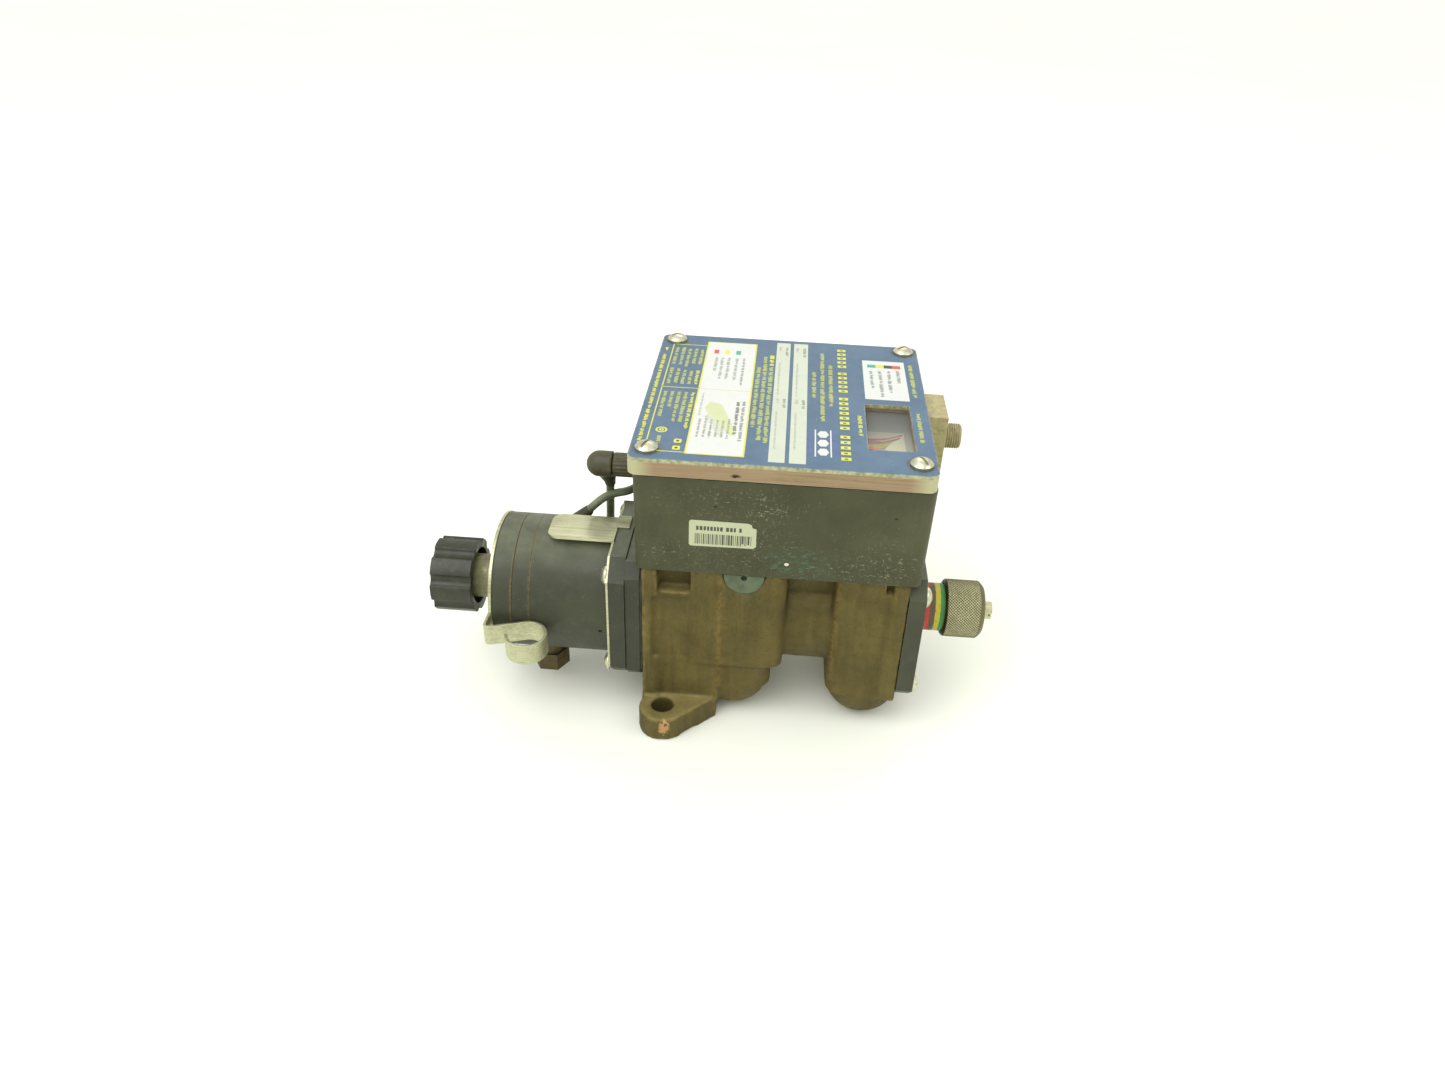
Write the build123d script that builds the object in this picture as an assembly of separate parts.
from build123d import *
import math
import os

os.makedirs("parts", exist_ok=True)

# A flow-monitoring cooling-water shut-off valve, in millimetres.
# Frame: origin midway between the two mounting-foot holes on the base plane, +X along the main
# bore towards the adjusting knob, -Y towards the front of the label, +Z up.

# --- driving dimensions -------------------------------------------------------------------
AXIS_Z = 50.0            # height of the main bore above the feet
CLEAR = 0.05             # radial running clearance of a shaft or piston in its bore
TOUCH = 0.3              # gap between moving faces that come close at a limit

# bronze body
BODY_X0, BODY_X1 = -10.2, 105.0
FLANGE_HALF = 32.0       # half width of the square end flanges
BODY_TOP = 82.5          # pad that carries the electronics box
CHAMBER_R = 17.0         # main bore on each side of the seat web
WEB_X0, WEB_X1 = 47.0, 56.0
SEAT_HOLE_R = 13.0
NECK_R = 25.0
PORT_R = 17.5            # outside of each port chamber, tangent to the floor
PORT_XS = (30.5, 91.0)
PORT_DOME_Y = -12.5      # centre of the domed front of each port chamber
PORT_FACE_Y = 42.0       # faces of the two threaded ports, at the back
PORT_THREAD_R = 12.2     # 3/4 inch taper pipe thread, as a plain bore
PORT_THREAD_LEN = 13.0
PORT_BORE_R = 9.5
FOOT_Y = 37.8            # foot holes, front and back
FOOT_HOLE_R = 4.9
FOOT_T = 12.0
FOOT_TIP_R = 11.0

# actuator on the left
HOUSING_R = 31.0
PLATE_X = -25.7          # left face of the thin plate against the black flange
PLATE_T = 1.0
OCTAGON_X1 = -17.7
HOUSING_X0 = -61.0
RING_X0 = -68.5
CAP_X0 = -77.5
END_PLATE_T = 1.5
BUSH_R = 10.25
BUSH_X0 = -94.0
STEM_R = 4.0
STEM_TRAVEL = 10.0       # push of the shut-off knob, open to shut
KNOB_X0, KNOB_X1 = -110.0, -91.0
KNOB_R = 17.4
KNOB_WALL = 2.4
KNOB_FACE_T = 4.0
POPPET_X0, POPPET_X1 = 29.0, 34.0
POPPET_SEAL_T = 2.0
SCREW_Y, SCREW_Z = 26.5, 24.0    # flange screws from the bore axis
FLANGE_SCREW_LEN = 22.0
FLANGE_POINTS = [(sy * SCREW_Y, AXIS_Z + sz * SCREW_Z) for sy in (-1, 1) for sz in (-1, 1)]
END_SCREW_R = 24.0               # circle of the three end-plate screws
END_POINTS = [(END_SCREW_R * math.cos(a), AXIS_Z + END_SCREW_R * math.sin(a))
              for a in (math.radians(140), math.radians(260), math.radians(20))]

# flow side on the right
END_CAP_X1 = 112.4
CAP_SCREW_LEN = 13.0     # stops short of the right port's thread
BARREL_R = 10.6
BAND_R = 11.0
BARREL_X1 = 126.5
BAND_X1 = 125.0
ADJUST_R = 13.3
ADJUST_X0, ADJUST_X1 = 125.2, 143.0
ADJUST_FLOOR_X = 139.0
SPINDLE_R = 4.0
SPINDLE_X1 = 147.6
FOLLOWER_X0, FOLLOWER_X1 = 99.0, 106.0
SLEEVE_X0, SLEEVE_R, SLEEVE_BORE_R = 90.0, 12.0, 8.6
PISTON_X0, PISTON_X1 = 57.5, 64.0
PISTON_TRAVEL = 8.0
PISTON_ROD_R = 4.0

# pointer drive
POINTER_X, POINTER_Y = 76.0, 12.0
CRANK_R = 12.5
POINTER_SWING = 2 * math.degrees(math.asin(PISTON_TRAVEL / 2 / CRANK_R))
POINTER_SHAFT_R = 2.5
COLLAR_R, COLLAR_T = 7.9, 1.6
PIN_X = POINTER_X - PISTON_TRAVEL / 2
PIN_Y = POINTER_Y - CRANK_R * math.cos(math.radians(POINTER_SWING / 2))
CRANK_Z0, CRANK_Z1 = 58.5, 60.5

# electronics box
BOX_X, BOX_Y = 48.2, 29.5        # centre of the box, seen from above
BOX_W, BOX_D = 123.0, 126.4
BOX_Z0, BOX_Z1 = 83.2, 129.0
BOX_WALL, BOX_CORNER = 3.0, 4.0
LID_X, LID_W, LID_D = 47.0, 124.0, 128.0
LID_Z1 = 137.5
PLATE_THICK = 1.6
WINDOW = (81.6, 101.0, -15.0, 27.0)          # x0, x1, y0, y1
BOARD_Z = 96.2                    # underside of the circuit board
BOARD_CORNERS = ((5, -15), (57, -15), (5, 65), (57, 65))
BOX_SCREWS = ((18, -14), (18, 14), (90, -22), (90, 24))
BRACKET_SCREW_XS, BRACKET_SCREW_Z = (20.5, 43.5), 72.0
DIAL = (68.0, 106.0, -19.0, 66.0)            # dial plate under the window: x0, x1, y0, y1
DIAL_Z = 118.0
COVER_SCREWS = ((-8.0, -25.5), (102.3, -25.5), (-8.0, 87.0), (102.3, 87.0))

# connectors
PLUG_Y, PLUG_Z = 24.5, 100.5
M12_Y, M12_Z = 52.0, 112.0
CABLE_D = 3.9
# route of the jumper lead, from the elbow plug down, round and back to the coil's gland
CABLE_ROUTE = [
    (-33.0, 28.5, 87.5), (-33.4, 29.8, 75.5), (-34.4, 33.2, 62.5), (-34.0, 40.5, 50.5),
    (-31.0, 51.0, 42.5), (-27.0, 64.0, 41.5), (-22.8, 74.8, 48.3), (-19.6, 79.3, 60.5),
    (-18.4, 75.2, 72.5), (-18.2, 64.0, 81.2), (-18.0, 50.0, 83.8), (-19.0, 36.0, 84.6),
    (-23.8, 27.6, 84.8), (-30.6, 24.2, 85.2), (-36.6, 22.3, 82.8), (-42.0, 21.5, 77.0),
]

BOTTOM = (Align.CENTER, Align.CENTER, Align.MIN)


# --- helpers ------------------------------------------------------------------------------
def block(x0, x1, y0, y1, z0, z1):
    centre = ((x0 + x1) / 2, (y0 + y1) / 2, (z0 + z1) / 2)
    return Pos(*centre) * Box(x1 - x0, y1 - y0, z1 - z0)


def rod_x(r, x0, x1, y=0.0, z=AXIS_Z):
    return Pos(x0, y, z) * Rot(0, 90, 0) * Cylinder(r, x1 - x0, align=BOTTOM)


def rod_y(r, y0, y1, x, z):
    return Pos(x, y0, z) * Rot(-90, 0, 0) * Cylinder(r, y1 - y0, align=BOTTOM)


def rod_z(r, z0, z1, x, y):
    return Pos(x, y, z0) * Cylinder(r, z1 - z0, align=BOTTOM)


def tube_x(r_out, r_in, x0, x1, y=0.0, z=AXIS_Z):
    return rod_x(r_out, x0, x1, y, z) - rod_x(r_in, x0 - 1, x1 + 1, y, z)


def tube_z(r_out, r_in, z0, z1, x, y):
    return rod_z(r_out, z0, z1, x, y) - rod_z(r_in, z0 - 1, z1 + 1, x, y)


def chamfered_square(x0, x1, half, cut):
    """A square plate across the bore axis, its four corners cut at 45 degrees."""
    corner = half - cut
    outline = Polyline(
        (-corner, -half), (corner, -half), (half, -corner), (half, corner),
        (corner, half), (-corner, half), (-half, corner), (-half, -corner), close=True,
    )
    plane = Plane(origin=(x0, 0, AXIS_Z), x_dir=(0, 1, 0), z_dir=(1, 0, 0))
    return extrude(plane * make_face(outline), x1 - x0)


def rounded_slab(x, y, w, d, z0, z1, corner, taper=0.0):
    outline = Pos(x, y, z0) * RectangleRounded(w, d, corner)
    return extrude(outline, z1 - z0, taper=taper)


def rounded_block(x0, x1, y0, y1, z0, z1, corner):
    """A block whose four upright edges are rounded."""
    return rounded_slab((x0 + x1) / 2, (y0 + y1) / 2, x1 - x0, y1 - y0, z0, z1, corner)


def pan_screw(head_r, head_h, shank_r, shank_len):
    """A slotted pan-head screw: seat at z = 0, domed head above, shank below."""
    dome_r = (head_r ** 2 + head_h ** 2) / (2 * head_h) + 0.9
    dome = Pos(0, 0, head_h - dome_r) * Sphere(dome_r)
    head = Cylinder(head_r, head_h, align=BOTTOM) & dome
    slot = Pos(0, 0, head_h) * Box(head_r * 3, head_r * 0.26, head_h * 0.9)
    shank = Pos(0, 0, -shank_len) * Cylinder(shank_r, shank_len, align=BOTTOM)
    return head - slot + shank


def screws_x(points, x, direction, turn, head=(4.4, 2.8), shank=(2.4, 12.0)):
    """Pan screws whose heads face along +X or -X, at (y, z) points."""
    screw = pan_screw(head[0], head[1], shank[0], shank[1])
    tilt = 90 if direction > 0 else -90
    return [Pos(x, y, z) * Rot(0, tilt, 0) * Rot(0, 0, turn * (i + 1)) * screw
            for i, (y, z) in enumerate(points)]


def spring_x(mean_r, wire_r, x0, x1, turns):
    """A plain compression spring along the bore axis."""
    pitch = (x1 - x0 - 2 * wire_r) / turns
    path = Helix(pitch=pitch, height=pitch * turns, radius=mean_r)
    section = Plane(origin=path @ 0, z_dir=path % 0) * Circle(wire_r)
    coil = sweep(section, path=path)
    return Pos(x0 + wire_r, 0, AXIS_Z) * Rot(0, 90, 0) * coil


def save(name, *shapes):
    """Write a node: one solid, or a group of separate solids for identical pieces."""
    solids = [solid for shape in shapes for solid in shape.solids()]
    export_step(solids[0] if len(solids) == 1 else Compound(children=solids), f"parts/{name}.step")


# --- bronze body --------------------------------------------------------------------------
def foot_plate():
    """The front foot: a tapering lug round its bolt hole, mirrored to the back."""
    tip_y = FOOT_Y + 0.6
    outline = Polyline((-10.2, -25.0), (24.0, -25.0), (24.0, -30.5), (9.0, -tip_y - 6.5),
                       (-9.0, -tip_y - 5.5), (-10.2, -tip_y), close=True)
    plate = extrude(make_face(outline), FOOT_T) + rod_z(FOOT_TIP_R, 0, FOOT_T, 0.3, -tip_y)
    return plate


def valve_body():
    front = -30.5
    shell = block(BODY_X0, BODY_X0 + 7, -FLANGE_HALF, FLANGE_HALF, 12, BODY_TOP)
    shell += rounded_block(BODY_X0, 24.5, front, -front, FOOT_T - 1, BODY_TOP, 2.5)
    shell += rounded_block(11, 53, -31.5, FLANGE_HALF, 32, BODY_TOP, 5.0)
    shell += rod_x(NECK_R + 2, 40, 80)
    shell += block(50, 76, -20, 26, AXIS_Z, BODY_TOP)
    shell += rounded_block(73.5, BODY_X1, front, -front, 26, BODY_TOP, 5.0)
    shell += block(BODY_X1 - 7, BODY_X1, -FLANGE_HALF, FLANGE_HALF, 18, BODY_TOP)
    for x in PORT_XS:
        x_end = min(x + PORT_R, BODY_X1)
        column = rounded_block(x - PORT_R, x_end, PORT_DOME_Y - PORT_R, 28, PORT_R, AXIS_Z, 8.0)
        chamber = rod_y(PORT_R, PORT_DOME_Y, PORT_FACE_Y, x, PORT_R)
        dome = Pos(x, PORT_DOME_Y, PORT_R) * Sphere(PORT_R)
        shell += column + chamber + dome
    shell -= block(BODY_X1, BODY_X1 + 20, -60, 60, -5, 100)
    front_foot = foot_plate()
    shell += front_foot + mirror(front_foot, about=Plane.XZ)
    shell += block(BODY_X0, 20, -26, 26, 0, FOOT_T)
    # cast pockets: one behind the left flange, a shallow outlined one below it, one at the right
    shell -= block(-3.2, 11, -40, -24, 70, 90)
    shell -= block(-3.2, 11, 24, 40, 70, 90)
    shell -= block(-6.0, 12.5, -40, front + 0.6, 34, 68)
    shell -= block(95.0, 98.0, -40, front + 3, 76, 90)
    # half-round seat of the test plug
    shell -= rod_y(8.7, -40, -28.5, 34.1, BODY_TOP - 0.5)
    # water way
    shell -= rod_x(CHAMBER_R, BODY_X0 - 1, WEB_X0)
    shell -= rod_x(CHAMBER_R, WEB_X1, BODY_X1 + 1)
    shell -= rod_x(SEAT_HOLE_R, WEB_X0 - 1, WEB_X1 + 1)
    for x in PORT_XS:
        shell -= rod_z(PORT_BORE_R, PORT_R, AXIS_Z, x, 0)
        shell -= rod_y(PORT_BORE_R, 0, PORT_FACE_Y + 1, x, PORT_R)
        shell -= rod_y(PORT_THREAD_R, PORT_FACE_Y - PORT_THREAD_LEN, PORT_FACE_Y + 1, x, PORT_R)
        shell -= Pos(x, 0, PORT_R) * Sphere(PORT_BORE_R)
    # pointer gland, foot holes and screw holes
    shell -= rod_z(6.0, AXIS_Z, BODY_TOP + 1, POINTER_X, POINTER_Y)
    for y in (-FOOT_Y, FOOT_Y):
        shell -= rod_z(FOOT_HOLE_R, -1, FOOT_T + 1, 0, y)
    for y, z in FLANGE_POINTS:
        shell -= rod_x(2.4, BODY_X0 - 1, PLATE_X + FLANGE_SCREW_LEN + 0.2, y, z)
        shell -= rod_x(2.4, END_CAP_X1 - CAP_SCREW_LEN - 0.2, BODY_X1 + 1, y, z)
    for x, y in BOX_SCREWS:
        shell -= rod_z(2.4, BODY_TOP - 10, BODY_TOP + 1, x, y)
    for x in BRACKET_SCREW_XS:
        shell -= rod_y(2.0, FLANGE_HALF - 9, FLANGE_HALF + 1, x, BRACKET_SCREW_Z)
    return shell


def test_plug():
    """A soft plug in a half-round seat at the front, trimmed level with the body's top pad."""
    disc = rod_y(8.6, -32.2, -28.5, 34.1, BODY_TOP - 0.5)
    return (disc & block(20, 50, -40, 0, 60, BODY_TOP)) - rod_y(1.4, -34, -30, 34.1, BODY_TOP - 1.4)


# --- shut-off side ------------------------------------------------------------------------
def flange_stack():
    holes = [rod_x(2.5, PLATE_X - 1, BODY_X0 + 1, y, z) for y, z in FLANGE_POINTS]
    centre = rod_x(12.5, PLATE_X - 1, BODY_X0 + 1)
    plate_x1 = PLATE_X + PLATE_T
    plate = chamfered_square(PLATE_X, plate_x1, FLANGE_HALF, 8.5)
    plate += block(-50.0, plate_x1, -13.0, 6.7, 82.0, 83.0)
    plate += rod_z(5.0, 82.0, 83.0, -50.0, -8.0) + rod_z(5.0, 82.0, 83.0, -50.0, 1.7)
    plate += block(-55.0, -50.0, -8.0, 1.7, 82.0, 83.0)
    plate += block(PLATE_X, plate_x1, -13.0, 6.7, 76.0, 83.0)
    plate += block(PLATE_X, -19.5, -1.5, 8.5, 82.0, 83.0)
    octagon = chamfered_square(plate_x1, OCTAGON_X1, FLANGE_HALF, 8.5)
    adaptor = chamfered_square(OCTAGON_X1, BODY_X0 - 0.8, FLANGE_HALF - 0.8, 6.0)
    gasket = chamfered_square(BODY_X0 - 0.8, BODY_X0, FLANGE_HALF - 1.2, 6.0)
    for cut in holes + [centre]:
        plate, octagon, adaptor = plate - cut, octagon - cut, adaptor - cut
        gasket -= cut
    save("tab_plate", plate)
    save("actuator_flange", octagon)
    save("adaptor_flange", adaptor)
    save("body_gasket", gasket)
    save("flange_screws",
         *screws_x(FLANGE_POINTS, PLATE_X, -1, 35, shank=(2.4, FLANGE_SCREW_LEN)))


def actuator_housing():
    """The coil's cup: open to the left, with the outlet of its lead at the upper back."""
    cup = rod_x(HOUSING_R, HOUSING_X0, PLATE_X) - rod_x(28.0, HOUSING_X0 - 1, PLATE_X - 4)
    cup -= rod_x(11.2, PLATE_X - 5, PLATE_X + 1)
    return cup - rod_y(0.9, -32, -26, -28.9, 45.8)


def housing_ends():
    save("spacer_ring", tube_x(HOUSING_R, 26.0, RING_X0, HOUSING_X0))
    cap = rod_x(HOUSING_R, CAP_X0, RING_X0) - rod_x(BUSH_R, CAP_X0 - 1, RING_X0 + 1)
    plate = rod_x(HOUSING_R + 0.4, CAP_X0 - END_PLATE_T, CAP_X0)
    plate -= rod_x(BUSH_R, CAP_X0 - 3, CAP_X0 + 1)
    for y, z in END_POINTS:
        cap -= rod_x(2.0, CAP_X0 - 1, RING_X0 + 1, y, z)
        plate -= rod_x(2.0, CAP_X0 - 3, CAP_X0 + 1, y, z)
    save("housing_cap", cap)
    save("end_plate", plate)
    heads = screws_x(END_POINTS, CAP_X0 - END_PLATE_T, -1, 50, head=(4.0, 2.6), shank=(2.0, 8.0))
    save("end_plate_screws", *heads)


def hose_clip():
    """One bent strip from the end plate: forward, round a corner and rolled into an open loop."""
    thick, height, z0 = 1.3, 10.0, 39.8
    loop_x, loop_y, loop_r = -60.0, -40.8, 8.65
    strip_x = CAP_X0 - END_PLATE_T - thick / 2
    meet = math.radians(112)
    meet_point = (loop_x + loop_r * math.cos(meet), loop_y + loop_r * math.sin(meet))
    lead = FilletPolyline((strip_x, -22.0), (strip_x, -38.5), meet_point, radius=2.0)
    roll = CenterArc((loop_x, loop_y), loop_r, math.degrees(meet), -285)
    return extrude(Pos(0, 0, z0) * trace(lead + roll, thick), height)


def solenoid():
    bobbin = tube_x(13.0, 11.2, -60.0, -32.0)
    for x in (-60.0, -34.0):
        bobbin += tube_x(25.0, 11.2, x, x + 2.0)
    save("coil_bobbin", bobbin)
    save("coil_winding", tube_x(24.0, 13.0, -58.0, -34.0))
    save("magnet_yoke", tube_x(28.0, 25.2, -60.0, -31.0))
    bush = tube_x(BUSH_R, STEM_R + CLEAR, BUSH_X0, -70.0)
    save("guide_bush", bush)
    save("stem_gland", tube_x(12.5, STEM_R + CLEAR, -24.0, -8.0))
    hexagon = Pos(-57.5, -8.0, 8.0) * extrude(RegularPolygon(8.6, 6), 9.0)
    stub = rod_z(6.5, 17.0, 25.0, -57.5, -8.0) - rod_x(HOUSING_R, -80.0, -40.0)
    save("drain_plug", hexagon + stub)


def shutoff_knob():
    """A scalloped hollow knob: eight fingers round a cup that passes over the guide bush."""
    cup = rod_x(KNOB_R, KNOB_X0, KNOB_X1)
    lobes = 8
    for i in range(lobes):
        a = 2 * math.pi * (i + 0.5) / lobes
        r = KNOB_R + 1.6
        cup -= rod_x(3.4, KNOB_X0 - 1, KNOB_X1 + 1, r * math.cos(a), AXIS_Z + r * math.sin(a))
    cup -= rod_x(KNOB_R - KNOB_WALL - 1.8, KNOB_X0 + KNOB_FACE_T, KNOB_X1 + 1)
    return cup - rod_x(STEM_R, KNOB_X0 + 2, KNOB_X1) - rod_x(2.2, KNOB_X0 - 1, KNOB_X1)


def stem_parts():
    save("shutoff_knob", shutoff_knob())
    stem = rod_x(STEM_R, KNOB_X0 + 2, POPPET_X1 + 7) - rod_x(2.0, KNOB_X0 + 1, KNOB_X0 + 12)
    save("valve_stem", stem)
    screw = Pos(KNOB_X0, 0, AXIS_Z) * Rot(0, -90, 0) * pan_screw(4.0, 2.4, 2.0, 11.0)
    save("knob_screw", screw)
    save("armature", tube_x(10.9, STEM_R, -67.5, -47.0))
    poppet = tube_x(15.6, STEM_R, POPPET_X0, POPPET_X1) + tube_x(8.0, STEM_R, 25.0, POPPET_X0)
    save("poppet", poppet)
    seal_x1 = POPPET_X1 + POPPET_SEAL_T
    save("poppet_seal", tube_x(15.4, STEM_R, POPPET_X1, seal_x1))
    lip_x = seal_x1 + STEM_TRAVEL + TOUCH
    save("seat_ring", tube_x(SEAT_HOLE_R, 11.0, lip_x, WEB_X1))
    save("shutoff_spring", spring_x(10.5, 0.9, -8.0, POPPET_X0, 6))


# --- flow side ----------------------------------------------------------------------------
def end_cap():
    cap = chamfered_square(BODY_X1, END_CAP_X1, FLANGE_HALF, 7.0)
    cap += tube_x(SLEEVE_R, SLEEVE_BORE_R, SLEEVE_X0, BODY_X1 + 1)
    cap += tube_x(CHAMBER_R, SLEEVE_R - 0.5, BODY_X1 - 4, BODY_X1 + 1)
    cap -= rod_x(SLEEVE_BORE_R, SLEEVE_X0 - 1, BODY_X1 + 3)
    cap -= rod_x(9.0, BODY_X1 + 3, END_CAP_X1 + 1)
    for y, z in FLANGE_POINTS:
        cap -= rod_x(2.5, BODY_X1 - 1, END_CAP_X1 + 1, y, z)
    return cap


def flow_parts():
    save("end_cap", end_cap())
    save("end_cap_screws", *screws_x(FLANGE_POINTS, END_CAP_X1, 1, 65, shank=(2.4, CAP_SCREW_LEN)))
    barrel = rod_x(BARREL_R, END_CAP_X1, BARREL_X1) + rod_x(9.0, BODY_X1 + 3, END_CAP_X1)
    save("adjuster_barrel", barrel - rod_x(SPINDLE_R + CLEAR, BODY_X1, BARREL_X1 + 1))
    save("band_sleeve", tube_x(BAND_R, BARREL_R, END_CAP_X1, BAND_X1))
    knob = rod_x(ADJUST_R, ADJUST_X0, ADJUST_X1 - 2)
    nose = Cone(ADJUST_R, ADJUST_R - 1.8, 2, align=BOTTOM)
    knob += Pos(ADJUST_X1 - 2, 0, AXIS_Z) * Rot(0, 90, 0) * nose
    knob -= rod_x(BAND_R + 0.15, ADJUST_X0 - 1, ADJUST_FLOOR_X)
    knob -= rod_x(SPINDLE_R, ADJUST_FLOOR_X - 1, ADJUST_X1 + 1)
    save("adjusting_knob", knob)
    spindle = rod_x(SPINDLE_R, FOLLOWER_X1, SPINDLE_X1)
    slot = block(SPINDLE_X1 - 1.6, SPINDLE_X1 + 1, -5, 5, AXIS_Z - 0.7, AXIS_Z + 0.7)
    save("adjusting_spindle", spindle - slot)
    follower = rod_x(SLEEVE_BORE_R - CLEAR, FOLLOWER_X0, FOLLOWER_X1)
    save("spring_follower", follower - rod_x(5.0, FOLLOWER_X0 - 1, FOLLOWER_X1 - 2))


def regulating_piston():
    """A disc with flow holes, a rod, and a pair of collars that carry the pointer's crank pin."""
    piston = rod_x(CHAMBER_R - CLEAR, PISTON_X0, PISTON_X1)
    for i in range(6):
        a = math.radians(60 * i + 30)
        piston -= rod_x(2.6, PISTON_X0 - 1, PISTON_X1 + 1, 10.5 * math.cos(a),
                        AXIS_Z + 10.5 * math.sin(a))
    piston += rod_x(PISTON_ROD_R, PISTON_X1 - 1, 80.0)
    for x0 in (PIN_X - 3.4, PIN_X + 1.8):
        piston += rod_x(COLLAR_R, x0, x0 + COLLAR_T)
    return piston


def pointer_shaft():
    """Shaft from the box down into the bore, a crank over the piston rod, and its pin."""
    shaft = rod_z(POINTER_SHAFT_R, CRANK_Z0, 124.0, POINTER_X, POINTER_Y)
    middle = ((POINTER_X + PIN_X) / 2, (POINTER_Y + PIN_Y) / 2, CRANK_Z0)
    arm = Pos(*middle) * Rot(0, 0, 90 - POINTER_SWING / 2) \
        * Box(CRANK_R, 4.0, CRANK_Z1 - CRANK_Z0, align=BOTTOM)
    arm += rod_z(2.0, CRANK_Z0, CRANK_Z1, PIN_X, PIN_Y)
    pin = rod_z(1.5, AXIS_Z + PISTON_ROD_R + 0.4, CRANK_Z0 + 0.5, PIN_X, PIN_Y)
    return shaft + arm + pin


def flow_meter():
    save("regulating_piston", regulating_piston())
    save("flow_spring", spring_x(6.5, 0.6, PIN_X + 1.8 + COLLAR_T, FOLLOWER_X0, 6))
    save("pointer_shaft", pointer_shaft())


# --- electronics box ----------------------------------------------------------------------
def box_form(inset, z0, z1):
    """The box's outer form, one degree of draft, drawn in by an inset all round."""
    grow = 2 * (BOX_Z1 - BOX_Z0) * math.tan(math.radians(1.0))
    return rounded_slab(BOX_X, BOX_Y, BOX_W - grow - 2 * inset, BOX_D - grow - 2 * inset,
                        z0, z1, max(BOX_CORNER - inset, 1.5), taper=-1.0)


def enclosure():
    outer = box_form(0, BOX_Z0, BOX_Z1)
    floor = BOX_Z0 + BOX_WALL
    box = outer - box_form(BOX_WALL, floor, BOX_Z1 + 1)
    for x, y in COVER_SCREWS:
        box += rod_z(4.2, BOX_Z0 + 1, BOX_Z1, x, y) & outer
        box -= rod_z(2.4, BOX_Z1 - 12, BOX_Z1 + 1, x, y)
    for x, y in BOARD_CORNERS:
        box += rod_z(3.0, floor - 1, BOARD_Z, x, y)
    box -= rod_z(6.0, BOX_Z0 - 1, floor + 1, POINTER_X, POINTER_Y)
    for x, y in BOX_SCREWS:
        box -= rod_z(2.5, BOX_Z0 - 1, floor + 1, x, y)
    box -= rod_x(4.0, -20, 0, PLUG_Y, PLUG_Z)
    return box - rod_x(6.0, 100, 115, M12_Y, M12_Z)


def cover():
    x0, x1, y0, y1 = WINDOW
    seat_z = BOX_Z1 + 0.8
    outer = rounded_slab(LID_X, BOX_Y, LID_W, LID_D, seat_z, LID_Z1 - PLATE_THICK, BOX_CORNER)
    cavity = rounded_slab(LID_X, BOX_Y, LID_W - 14, LID_D - 14, seat_z - 1, LID_Z1 - 4.5, 3.0)
    frame = outer - cavity
    plate = rounded_slab(LID_X, BOX_Y, LID_W, LID_D, LID_Z1 - PLATE_THICK, LID_Z1, BOX_CORNER)
    window = block(x0, x1, y0, y1, seat_z - 1, LID_Z1 + 1)
    rebate = block(x0 - 3, x1 + 3, y0 - 3, y1 + 3, LID_Z1 - 4.5 - 1, LID_Z1 - PLATE_THICK - 1.0)
    gasket = rounded_slab(BOX_X, BOX_Y, BOX_W - 0.6, BOX_D - 0.6, BOX_Z1, seat_z, BOX_CORNER)
    gasket -= rounded_slab(BOX_X, BOX_Y, BOX_W - 7, BOX_D - 7, BOX_Z1 - 1, seat_z + 1, 2.0)
    for x, y in COVER_SCREWS:
        hole = rod_z(2.5, BOX_Z1 - 1, LID_Z1 + 1, x, y)
        frame += rod_z(4.2, seat_z, LID_Z1 - 4.4, x, y) & outer
        frame, plate, gasket = frame - hole, plate - hole, gasket - hole
    frame = frame - window - rebate
    save("lid_frame", frame)
    save("label_plate", plate - window)
    save("box_gasket", gasket)
    save("window_lens", block(x0 - 2.6, x1 + 2.6, y0 - 2.6, y1 + 2.6, LID_Z1 - 4.2, LID_Z1 - PLATE_THICK - 1.0))
    screw = pan_screw(4.75, 3.1, 2.35, 16.0)
    turns = (62, 118, 12, 28)
    heads = [Pos(x, y, LID_Z1) * Rot(0, 0, a) * screw for (x, y), a in zip(COVER_SCREWS, turns)]
    save("cover_screws", *heads)


def box_inside():
    floor = BOX_Z0 + BOX_WALL
    screw = pan_screw(4.4, 2.4, 2.4, 10.0)
    save("box_screws", *[Pos(x, y, floor) * screw for x, y in BOX_SCREWS])
    save("circuit_board", block(0, 62, -20, 70, BOARD_Z, BOARD_Z + 1.6))
    bush = tube_z(6.0, POINTER_SHAFT_R + CLEAR, 70.0, 93.0, POINTER_X, POINTER_Y)
    bush += tube_z(8.0, POINTER_SHAFT_R + CLEAR, floor, floor + 2.5, POINTER_X, POINTER_Y)
    save("pointer_bush", bush)


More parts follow.
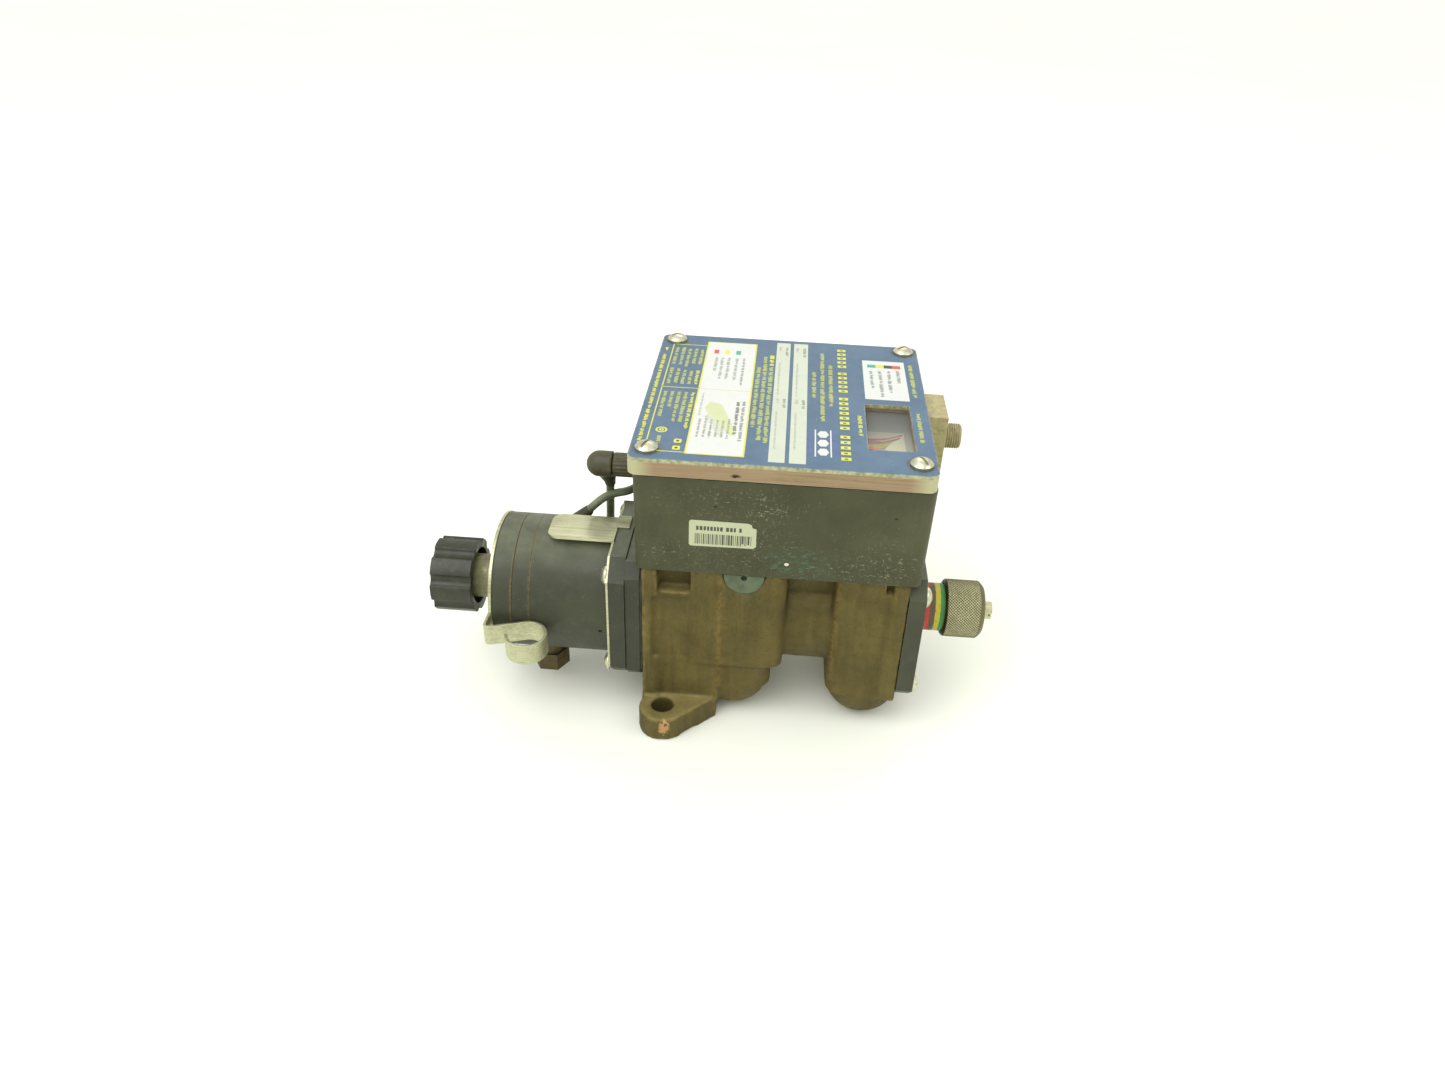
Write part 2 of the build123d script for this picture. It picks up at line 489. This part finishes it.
def indicator():
    """Magnet hub with its two reed switches, the dial card on its legs, and the pointer."""
    floor = BOX_Z0 + BOX_WALL
    x, y = POINTER_X, POINTER_Y
    hub = rod_z(7.0, 98.0, 104.0, x, y) + block(x - 3, x + 3, y - 12, y - 5, 98.0, 104.0)
    save("magnet_hub", hub - rod_z(POINTER_SHAFT_R, 97, 105, x, y))
    reed = block(-3, 3, -20, -14.5, floor, 106.0)
    save("reed_switches", *[Pos(x, y) * Rot(0, 0, a) * reed for a in (0, POINTER_SWING)])
    needle = block(0, 24, -0.8, 0.8, 124.6, 125.6) + rod_z(4.0, 121.0, 125.6, 0, 0)
    needle -= rod_z(POINTER_SHAFT_R, 120, 124.0, 0, 0)
    save("pointer", Pos(x, y) * Rot(0, 0, -POINTER_SWING / 2) * needle)
    card = block(*DIAL, DIAL_Z, DIAL_Z + 1.2) - rod_z(4.5, DIAL_Z - 8, DIAL_Z + 7, x, y)
    for leg_y in (-12, 31, 60):
        card += rod_z(2.5, floor, DIAL_Z + 0.5, 102.0, leg_y)
    save("dial_plate", card)


def rear_bracket():
    """Sheet bracket under the overhanging back of the box, with a pierced ear at its left end."""
    y_front = FLANGE_HALF
    y_back = BOX_Y + BOX_D / 2 + 0.3
    sheet = block(-10, 100, y_front, y_back + 1.5, BOX_Z0 - 1.5, BOX_Z0)
    sheet += block(-10, 100, y_front, y_front + 1.5, 66.0, BOX_Z0)
    sheet += block(-19, 100, y_back, y_back + 1.5, BOX_Z0 - 1.5, 99.5)
    sheet -= block(-25, -10, y_back - 1, y_back + 3, 80.0, 90.0)
    sheet -= rod_y(2.4, y_back - 2, y_back + 4, -15.6, 94.8)
    for x in BRACKET_SCREW_XS:
        sheet -= rod_y(2.1, y_front - 1, y_front + 3, x, BRACKET_SCREW_Z)
    return sheet


def box_mounting():
    pad = block(-8, 103, -30, 31, BODY_TOP, BOX_Z0)
    pad -= rod_z(6.0, 80, 90, POINTER_X, POINTER_Y) + block(-8, 11, -30, -24, 80, 90)
    for x, y in BOX_SCREWS:
        pad -= rod_z(2.5, 80, 90, x, y)
    save("pad_gasket", pad)
    save("rear_bracket", rear_bracket())
    screw = pan_screw(3.9, 2.4, 2.0, 9.0)
    y = FLANGE_HALF + 1.5
    save("bracket_screws", *[Pos(x, y, BRACKET_SCREW_Z) * Rot(-90, 0, 0) * screw for x in BRACKET_SCREW_XS])


# --- connectors and jumper lead -----------------------------------------------------------
def left_connector():
    """Small threaded receptacle in the box wall, and an elbow plug held on it by a turning nut."""
    y, z = PLUG_Y, PLUG_Z
    wall_x = BOX_X - BOX_W / 2 + 0.5
    flange = Pos(wall_x - 2.4, y, z) * Rot(0, 90, 0) * extrude(RegularPolygon(6.9, 6), 3.2)
    flange -= box_form(0, BOX_Z0, BOX_Z1)
    receptacle = flange + rod_x(4.0, wall_x - 12.5, wall_x + 6, y, z)
    save("m8_receptacle", receptacle - rod_x(2.2, wall_x - 13, wall_x - 4, y, z))
    nut_x0, nut_x1 = wall_x - 17.5, wall_x - 2.4 - TOUCH
    save("coupling_nut", tube_x(5.75, 4.1, nut_x0, nut_x1, y, z))
    plug_x = nut_x0 - TOUCH
    elbow = rod_x(3.95, plug_x - 0.5, wall_x - 12.7, y, z) + rod_x(6.1, plug_x - 6.3, plug_x, y, z)
    elbow += Pos(plug_x - 6.3, y, z) * Sphere(6.1)
    exit_point = Vector(*CABLE_ROUTE[0])
    down = (Vector(*CABLE_ROUTE[1]) - exit_point).normalized()
    collar_top = exit_point - down * 4.0
    shoulder = Vector(plug_x - 5.6, y + 1.0, z - 1.0)
    slope = collar_top + down - shoulder
    leg = Plane(origin=shoulder, z_dir=slope) * Cone(4.6, 3.0, slope.length, align=BOTTOM)
    leg += Plane(origin=collar_top, z_dir=down) * Cylinder(2.6, 4.0, align=BOTTOM)
    save("elbow_plug", elbow + leg)


def right_connector():
    """Five-pole receptacle with a 12 mm thread on a cast block at the right of the box."""
    wall_x = BOX_X + BOX_W / 2 - 0.4
    body_x1, thread_x1 = 121.3, 129.8
    base = block(wall_x - 1, body_x1, M12_Y - 12.5, M12_Y + 12.5, M12_Z - 12.5, M12_Z + 15.0)
    base -= box_form(0, BOX_Z0, BOX_Z1) + rod_x(4.0, wall_x - 1, body_x1 + 1, M12_Y, M12_Z)
    base += tube_x(6.0, 4.6, body_x1, thread_x1, M12_Y, M12_Z)
    save("m12_receptacle", base)
    insert = rod_x(4.0, wall_x, body_x1, M12_Y, M12_Z)
    insert += rod_x(4.6, body_x1, thread_x1 - 3.2, M12_Y, M12_Z)
    pin = rod_x(0.5, thread_x1 - 4.2, thread_x1 - 0.8, 0, 0)
    spots = [(0.0, 0.0)] + [(2.2 * math.cos(a), 2.2 * math.sin(a))
                            for a in (0.0, math.pi / 2, math.pi, 1.5 * math.pi)]
    for dy, dz in spots:
        insert += Pos(0, M12_Y + dy, M12_Z + dz) * pin
    save("m12_insert", insert)


def cable_path():
    points = [Vector(*p) for p in CABLE_ROUTE]
    radii = []
    for before, here, after in zip(points, points[1:], points[2:]):
        turn = math.radians((here - before).get_angle(after - here))
        run = min((here - before).length, (after - here).length)
        radii.append(0.45 * run / math.tan(turn / 2))
    print("jumper lead radii, mm:", [round(r, 1) for r in radii])
    return FilletPolyline(*points, radius=radii)


def jumper_lead():
    path = cable_path()
    start = Plane(origin=path @ 0, z_dir=path % 0)
    tube = sweep(start * Circle(CABLE_D / 2), path=path)
    expected = path.length * math.pi * CABLE_D ** 2 / 4
    print("jumper lead length", round(path.length, 1), "volume ratio", round(tube.volume / expected, 4))
    save("jumper_lead", tube)
    end = Vector(*CABLE_ROUTE[-1])
    out = (end - Vector(*CABLE_ROUTE[-2])).normalized()
    boot = Plane(origin=end, z_dir=out) * Cone(2.4, 4.4, 11.0, align=BOTTOM)
    save("lead_boot", boot - rod_x(HOUSING_R, HOUSING_X0, PLATE_X))


save("valve_body", valve_body())
save("test_plug", test_plug())
flange_stack()
save("actuator_housing", actuator_housing())
housing_ends()
save("hose_clip", hose_clip())
solenoid()
stem_parts()
flow_parts()
flow_meter()
save("enclosure_box", enclosure())
cover()
box_inside()
indicator()
box_mounting()
left_connector()
right_connector()
jumper_lead()
